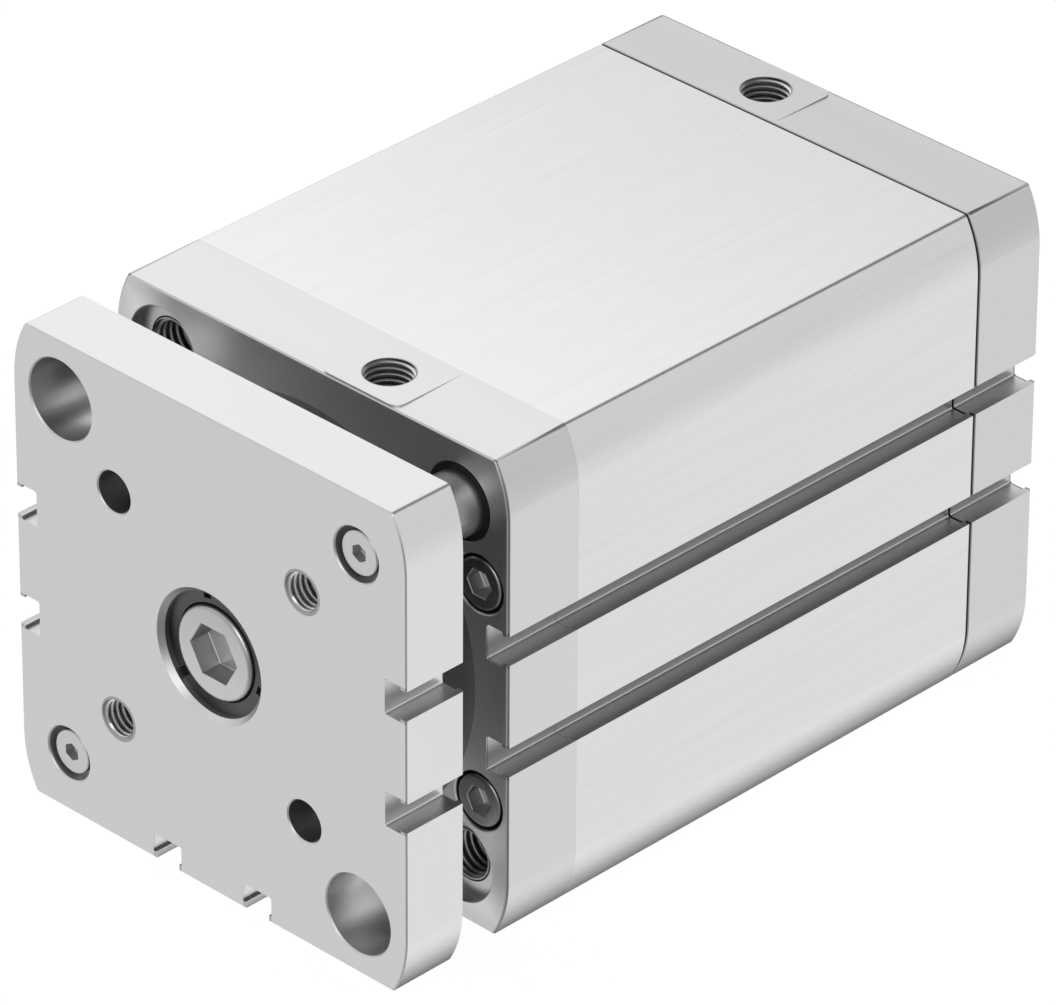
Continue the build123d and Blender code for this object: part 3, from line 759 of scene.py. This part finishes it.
def socket_shade(mouth, axis, corner, deep, near_edge, on_floor):
    """Painted light and shade in the hexagon socket of a screw, from near its edge down to its floor.
    """
    def shade(tree):
        radius, depth = around_axis(tree, mouth, axis)
        inside = ramp(tree, radius, corner + 0.1, corner)
        dark = ramp(tree, depth, 0.12, deep, near_edge, on_floor)
        edge = ramp(tree, depth, 0.05, 0.16)
        return product(tree, dark, edge, inside)
    return shade


RING_FRONT = front_of("yoke_ring")
# painted shadow on the ring's low left face, painted light and shade in its slots
RING_FACE_SHADOW = (-0.6, 0.0)
RING_SLOT_LIGHT_AND_SHADE = (-0.25, 2.2)
# painted shade on the centre screw's head towards its top
HEAD_SHADE_TONES = (0.0, -0.18)


def ring_shade(tree):
    """Painted shadow on the ring's low left part, and painted highlights in its other slots."""
    x, y, z = place_axes(tree)
    across = add_up(tree, x, z)
    face = ramp(tree, across, -12.0, -4.0, *RING_FACE_SHADOW)
    deep = ramp(tree, y, RING_FRONT + 0.05, RING_FRONT + 0.15)
    slots = ramp(tree, across, -8.0, -4.0, *RING_SLOT_LIGHT_AND_SHADE)
    return add_up(tree, product(tree, deep, slots), face)


def head_shade(tree):
    """Painted shade makes the head of the centre screw a little darker towards its top."""
    _, _, z = place_axes(tree)
    return ramp(tree, z, -5.0, 9.0, *HEAD_SHADE_TONES)


# Finishes

def brushed_aluminium(name, color, level):
    """The drawn barrel: bright anodised metal brushed along Y, with painted light and shade."""
    material, tree, shader = new_material(name, 1.0, level)
    brushing = use_group(tree, "Brushing", Stretch=(1.0, 0.009, 1.0), Fine=3200.0, Broad=520.0)
    satin = use_group(tree, "Satin", Grain_size=5000.0, Cloud_size=14.0)
    lines, bands = brushing["Lines"], brushing["Bands"]
    tone = add_up(
        tree,
        centred(tree, lines, 0.16),
        centred(tree, bands, 0.09),
        centred(tree, satin["Cloud"], 0.02),
        *body_shades(tree),
        slot_shade(tree, *BARREL_SLOT_TONES),
    )
    tone = with_seam(tree, tone)
    dress(tree, shader, color, tone, level, centred(tree, bands, 0.05), lines, 0.000004)
    return material


def satin_aluminium(name, color, level, shade):
    """A machined and anodised face with a fine even grain; shade adds painted light and shade to it.
    """
    material, tree, shader = new_material(name, 1.0, level)
    satin = use_group(tree, "Satin", Grain_size=5200.0, Cloud_size=18.0)
    grain, cloud = satin["Grain"], satin["Cloud"]
    tone = add_up(tree, centred(tree, grain, 0.035), centred(tree, cloud, 0.03), shade(tree))
    dress(tree, shader, color, tone, level, centred(tree, cloud, 0.06), grain, 0.000003)
    return material


def turned_steel(name, color, level, rings=3200.0, depth=0.000003, shade=None):
    """Metal with the fine rings of a lathe about the Y axis; shade adds painted light and shade to
    it.
    """
    material, tree, shader = new_material(name, 1.0, level)
    marks = use_group(tree, "Turning", Rings=rings)["Marks"]
    cloud = use_group(tree, "Satin", Grain_size=3000.0, Cloud_size=90.0)["Cloud"]
    tone = add_up(tree, centred(tree, marks, 0.12), centred(tree, cloud, 0.06))
    if shade:
        tone = add_up(tree, tone, shade(tree))
    dress(tree, shader, color, tone, level, centred(tree, cloud, 0.12), marks, depth)
    return material


def dull_polymer(name, color, level):
    """Rubber or plastic: dark, with a fine uneven skin."""
    material, tree, shader = new_material(name, 0.0, level, specular=0.25)
    satin = use_group(tree, "Satin", Grain_size=2500.0, Cloud_size=120.0)
    grain, cloud = satin["Grain"], satin["Cloud"]
    tone = add_up(tree, centred(tree, grain, 0.25), centred(tree, cloud, 0.2))
    dress(tree, shader, color, tone, level, centred(tree, grain, 0.15), grain, 0.000006)
    return material


BARREL_COLOR = (0.62, 0.622, 0.62)
CAP_COLOR = (0.565, 0.57, 0.567)
PLATE_COLOR = (0.62, 0.624, 0.622)
ZINC_COLOR = (0.56, 0.565, 0.56)
BLACK_COLOR = (0.3, 0.303, 0.305)
RING_COLOR = (0.085, 0.087, 0.088)
finishes = {
    "barrel_aluminium": brushed_aluminium("barrel_aluminium", BARREL_COLOR, 0.36),
    "cap_aluminium": satin_aluminium("cap_aluminium", CAP_COLOR, 0.38, cap_shade),
    "yoke_aluminium": satin_aluminium("yoke_aluminium", PLATE_COLOR, 0.36, plate_shade),
    "piston_aluminium": turned_steel("piston_aluminium", (0.6, 0.6, 0.61), 0.34, 1500.0),
    "ground_steel": turned_steel("ground_steel", (0.31, 0.312, 0.314), 0.34, 1800.0, 0.000001),
    "zinc_steel": turned_steel("zinc_steel", ZINC_COLOR, 0.3),
    "black_steel": turned_steel("black_steel", BLACK_COLOR, 0.34, 2600.0),
    "bearing_bronze": turned_steel("bearing_bronze", (0.45, 0.34, 0.2), 0.4, 2000.0),
    "seal_rubber": dull_polymer("seal_rubber", (0.01, 0.01, 0.0105), 0.5),
    "gasket_rubber": dull_polymer("gasket_rubber", (0.008, 0.008, 0.008), 0.7),
    "bearing_plastic": dull_polymer("bearing_plastic", (0.08, 0.08, 0.085), 0.45),
    "buffer_plastic": dull_polymer("buffer_plastic", (0.05, 0.05, 0.055), 0.55),
    "magnet_ferrite": dull_polymer("magnet_ferrite", (0.05, 0.05, 0.052), 0.65),
}
own_finishes = {
    "yoke_ring": turned_steel("ring_steel", RING_COLOR, 0.36, 2600.0, shade=ring_shade),
}


def finish(piece, material):
    """Gives a new piece its material."""
    piece.data.materials.clear()
    piece.data.materials.append(material)


for entry in record["subparts"]:
    slot_finish = finishes[entry["material_slot"]]
    for material_slot in nodes[entry["node"]].material_slots:
        material_slot.material = own_finishes.get(entry["node"], slot_finish)


# Threads in the holes

def threaded_hole(name, slot, color, body, mouth, axis, major, minor, pitch, depth, edge, light):
    """A liner with the cut thread of one hole; light is the painted light on its crests."""
    liner = thread_liner(name, mouth, axis, body, major, minor, pitch, depth, edge)
    shade = thread_shade(folded(mouth), axis, minor, major, depth, light)
    finish(liner, satin_aluminium(f"{name}_metal", color, THREAD_ROUGHNESS, shade))


# light is the painted light on the crests of each thread
YOKE_THREAD = {
    "major": 4.0,
    "minor": 3.32,
    "pitch": 1.25,
    "depth": PLATE_REAR - PLATE_FRONT - LINER_SKIN,
    "edge": 0.25,
    "light": 0.6,
}
CAP_THREAD = {
    "major": 5.0,
    "minor": 4.19,
    "pitch": 1.5,
    "depth": 11.9,
    "edge": 0.25,
    "light": 0.25,
}
PORT_THREAD = {
    "major": 4.864,
    "minor": 4.28,
    "pitch": 1.2,
    "depth": 8.3,
    "edge": 0.0,
    "light": 0.25,
}
THREAD_ROUGHNESS = 0.34
# How deep the mounts of the front threads lie below the mouths of their holes
MOUNT_DEPTH = 6.0
# How far below the top face the threads of the ports start
PORT_DROP = 0.02

for name in ("yoke_thread_upper", "yoke_thread_lower"):
    x, _, z = mount_place(name)
    mouth = (x, PLATE_FRONT, z)
    threaded_hole(name, "yoke_aluminium", PLATE_COLOR, MOVING, mouth, FORWARD, **YOKE_THREAD)

for name in ("front_thread_left", "front_thread_right"):
    mouth = mount_place(name) + (0, -MOUNT_DEPTH, 0)
    threaded_hole(name, "cap_aluminium", CAP_COLOR, HOUSING, mouth, FORWARD, **CAP_THREAD)

for across, side in ((-1, "left"), (1, "right")):
    for high, level in ((1, "upper"), (-1, "lower")):
        mouth = (across * HOLE_CORNER, 0.0, high * HOLE_CORNER)
        name = f"rear_thread_{level}_{side}"
        threaded_hole(name, "cap_aluminium", CAP_COLOR, HOUSING, mouth, REARWARD, **CAP_THREAD)

for port in ("port_front", "port_rear"):
    x, y, _ = mount_place(port)
    mouth = (x, y, TOP_FACE - PORT_DROP)
    name = f"{port}_thread"
    threaded_hole(name, "cap_aluminium", CAP_COLOR, HOUSING, mouth, UPWARD, **PORT_THREAD)


# Screws

def screw_metal(name, color, level, rings, socket, screw, seat, axis, fade=None):
    """Turned steel with painted light and shade in the sockets; screw and seat are of one of the set.
    """
    apothem, key_depth, bevel = screw["key"]
    face = np.array(folded(seat)) + np.array(axis) * screw["head"][1]
    corner_radius = (apothem + bevel) / math.cos(math.pi / 6)
    inner = socket_shade(face.tolist(), axis, corner_radius, key_depth, *socket)

    def shade(tree):
        return add_up(tree, inner(tree), fade(tree)) if fade else inner(tree)
    return turned_steel(name, color, level, rings, shade=shade)


# Color, roughness, lathe rings, and the socket's painted light and shade near its edge and on its
# floor
ZINC_SCREW = (ZINC_COLOR, 0.3, 3200.0, (0.12, -0.12))
BLACK_SCREW = (BLACK_COLOR, 0.34, 2600.0, (1.0, 0.7))
# X and Z of the cap screws
CAP_SCREW_PLACE = (40.85, 21.8)
CAP_SCREW = {
    "corner_turn": 0.0,
    "head": (5.0, 6.0, 0.5),
    "key": (2.5, 3.0, 0.12),
    "shank": (2.95, 24.0, 1.0),
    "knurl": 0.12,
    "columns": 96,
}
CENTRE_SCREW = {
    "corner_turn": 0.0,
    "head": (9.0, 7.5, 0.9),
    "key": (5.0, 4.5, 0.15),
    "shank": (5.95, 27.0, 1.75),
}
GUIDE_SCREW = {
    "corner_turn": 30.0,
    "head": (4.25, 3.5, 0.4),
    "key": (1.5, 2.0, 0.08),
    "shank": (2.45, 18.0, 0.8),
    "columns": 96,
}

front_seat = front_of("front_cap_screws") + CAP_SCREW["head"][1]
rear_seat = rear_of("rear_cap_screws") - CAP_SCREW["head"][1]
for end, seat_y, axis in (("front", front_seat, FORWARD), ("rear", rear_seat, REARWARD)):
    x, z = CAP_SCREW_PLACE
    seats = [(side * x, seat_y, high * z) for side in (1, -1) for high in (1, -1)]
    name, node = f"{end}_cap_screw_set", f"{end}_cap_screws"
    piece = screws_piece(name, node, HOUSING, seats, axis=axis, **CAP_SCREW)
    metal = screw_metal(f"{end}_screw_steel", *BLACK_SCREW, CAP_SCREW, seats[0], axis)
    finish(piece, metal)

seats = [(0.0, front_of("yoke_screw") + CENTRE_SCREW["head"][1], 0.0)]
piece = screws_piece("centre_screw", "yoke_screw", MOVING, seats, axis=FORWARD, **CENTRE_SCREW)
metal = screw_metal("centre_screw_steel", *ZINC_SCREW, CENTRE_SCREW, seats[0], FORWARD, head_shade)
finish(piece, metal)

seat_y = front_of("guide_screws") + GUIDE_SCREW["head"][1]
seats = [(side * HOLE_CORNER, seat_y, side * HOLE_CORNER) for side in (1, -1)]
piece = screws_piece("guide_screw_set", "guide_screws", MOVING, seats, axis=FORWARD, **GUIDE_SCREW)
metal = screw_metal("guide_screw_steel", *ZINC_SCREW, GUIDE_SCREW, seats[0], FORWARD)
finish(piece, metal)


# Floor, light and camera

ROOM_LEVEL = 0.62
DARKEST_LEVEL = 0.14
PLAIN_LEVEL = 0.7
# The axis of each, the angles in degrees where it ends and where it is full, and its light
SOFT_BOXES = (
    ((-0.62, 0.50, 0.60), 50, 15, 0.58),
    ((-0.80, 0.107, 0.588), 45, 12, 0.38),
    ((0.60, -0.61, 0.52), 38, 8, 0.76),
    ((0.72, 0.61, 0.33), 34, 5, 0.44),
    ((0.15, 0.61, 0.78), 28, 6, -1.08),
    ((0.58, 0.61, 0.54), 20, 4, 0.13),
    ((-0.60, -0.61, -0.52), 50, 15, 0.34),
    ((0.40, 0.61, -0.68), 50, 15, 0.65),
    ((-0.45, -0.65, 0.61), 32, 6, 0.22),
    ((0.61, -0.60, -0.52), 32, 6, -0.24),
    ((-0.32, 0.61, -0.73), 44, 22, -1.05),
    ((0.66, -0.74, -0.08), 26, 6, -0.24),
)


def add_lobe(tree, level, direction, axis, wide, narrow, amount):
    """Adds an amount of light around an axis, full within narrow degrees of it, none past wide."""
    toward = vector_node(tree, "DOT_PRODUCT", direction, Vector(axis).normalized())
    start, end = (math.cos(math.radians(angle)) for angle in (wide, narrow))
    lobe = ramp(tree, toward, start, end, 0.0, amount)
    lobe.node.interpolation_type = "SMOOTHSTEP"
    return math_node(tree, "ADD", level, lobe)


def make_studio():
    """The light of the room by direction: soft boxes and dim stretches between them."""
    tree, given, result = group_of("Studio", [("Direction", UPWARD)], ["Level"])
    direction = vector_node(tree, "NORMALIZE", given.outputs["Direction"])
    level = ROOM_LEVEL
    for soft_box in SOFT_BOXES:
        level = add_lobe(tree, level, direction, *soft_box)
    put(tree, math_node(tree, "MAXIMUM", level, DARKEST_LEVEL), result.inputs["Level"])
    return tree


GROUPS["Studio"] = make_studio()


FLOOR_COLOR = (0.9, 0.9, 0.9, 1.0)
FLOOR_GLOW = 1.03
GLOW_SHARE = 0.94


def stage_material():
    """A pale floor that is white to the camera but for a soft shadow, and clear to other light.

    The light of the room also comes from below, so other rays pass the floor. It is clear from
    below, so that it hides nothing.
    """
    material, tree, shader = new_material("studio_floor", 0.0, 0.9)
    shader.inputs["Base Color"].default_value = FLOOR_COLOR
    glow = tree.nodes.new("ShaderNodeEmission")
    glow.inputs["Color"].default_value = WHITE
    glow.inputs["Strength"].default_value = FLOOR_GLOW
    white = mix_shaders(tree, GLOW_SHARE, shader.outputs[0], glow.outputs[0])
    path = tree.nodes.new("ShaderNodeLightPath")
    behind = tree.nodes.new("ShaderNodeNewGeometry").outputs["Backfacing"]
    front = math_node(tree, "SUBTRACT", 1.0, behind)
    clear = tree.nodes.new("ShaderNodeBsdfTransparent").outputs[0]
    seen = product(tree, path.outputs["Is Camera Ray"], front)
    sided = mix_shaders(tree, seen, clear, white)
    put(tree, sided, tree.nodes["Material Output"].inputs["Surface"])
    return material


def add_floor(reach):
    """A square floor under the barrel."""
    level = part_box("barrel")[0].z
    mesh = bpy.data.meshes.new("floor")
    points = [(x * reach, y * reach, level) for x, y in ((-1, -1), (1, -1), (1, 1), (-1, 1))]
    mesh.from_pydata(points, [], [(0, 1, 2, 3)])
    floor = bpy.data.objects.new("floor", mesh)
    floor.data.materials.append(stage_material())
    bpy.context.scene.collection.objects.link(floor)


def add_lamp(name, place, aim, size, power):
    """A square area lamp at a place, aimed at a point, in metres and watts."""
    lamp = bpy.data.lights.new(name, "AREA")
    lamp.shape = "SQUARE"
    lamp.size = size
    lamp.energy = power
    lit = bpy.data.objects.new(name, lamp)
    lit.location = place
    lit.rotation_euler = (Vector(place) - Vector(aim)).to_track_quat("Z", "Y").to_euler()
    bpy.context.scene.collection.objects.link(lit)


def background(tree, strength):
    """White light of a strength."""
    node = tree.nodes.new("ShaderNodeBackground")
    node.inputs["Color"].default_value = WHITE
    put(tree, strength, node.inputs["Strength"])
    return node.outputs[0]


def add_world():
    """The room around the object, and white where the camera looks past it."""
    world = bpy.data.worlds.new("studio")
    bpy.context.scene.world = world
    world.use_nodes = True
    tree = world.node_tree
    tree.nodes.remove(tree.nodes["Background"])
    direction = tree.nodes.new("ShaderNodeTexCoord").outputs["Generated"]
    room = background(tree, use_group(tree, "Studio", Direction=direction)["Level"])
    path = tree.nodes.new("ShaderNodeLightPath").outputs
    by_kind = mix_shaders(tree, path["Is Diffuse Ray"], room, background(tree, PLAIN_LEVEL))
    direct = math_node(tree, "MAXIMUM", path["Is Camera Ray"], path["Is Transmission Ray"])
    seen = mix_shaders(tree, direct, by_kind, background(tree, 1.0))
    put(tree, seen, tree.nodes["World Output"].inputs["Surface"])


AZIMUTH = math.radians(44.21)
ELEVATION = math.radians(31.23)
ROLL = math.radians(0.331)
DISTANCE = 1.6204
TARGET = (0.0, -0.0583, 0.0)
TARGET_LEFT = 0.01535
TARGET_DOWN = 0.01047


def add_camera():
    """The photograph's view: a long lens from the front right, above."""
    level_right = Vector((math.cos(AZIMUTH), math.sin(AZIMUTH), 0.0))
    back = Vector((
        math.sin(AZIMUTH) * math.cos(ELEVATION),
        -math.cos(AZIMUTH) * math.cos(ELEVATION),
        math.sin(ELEVATION),
    ))
    level_up = back.cross(level_right)
    target = Vector(TARGET) - level_right * TARGET_LEFT - level_up * TARGET_DOWN
    right = level_right * math.cos(ROLL) + level_up * math.sin(ROLL)
    up = level_up * math.cos(ROLL) - level_right * math.sin(ROLL)
    data = bpy.data.cameras.new("camera")
    data.lens = 311.15
    data.sensor_width = 36.0
    data.sensor_fit = "HORIZONTAL"
    data.clip_end = 50.0
    camera = bpy.data.objects.new("camera", data)
    camera.matrix_world = Matrix((right, up, back)).transposed().to_4x4()
    camera.location = target + back * DISTANCE
    bpy.context.scene.collection.objects.link(camera)
    bpy.context.scene.camera = camera


add_floor(6.0)
add_lamp("key_lamp", (1.0, -1.3, 1.4), (0.0, -0.07, 0.0), 0.9, 4.0)
add_world()
add_camera()
bpy.context.scene.view_settings.view_transform = "Standard"
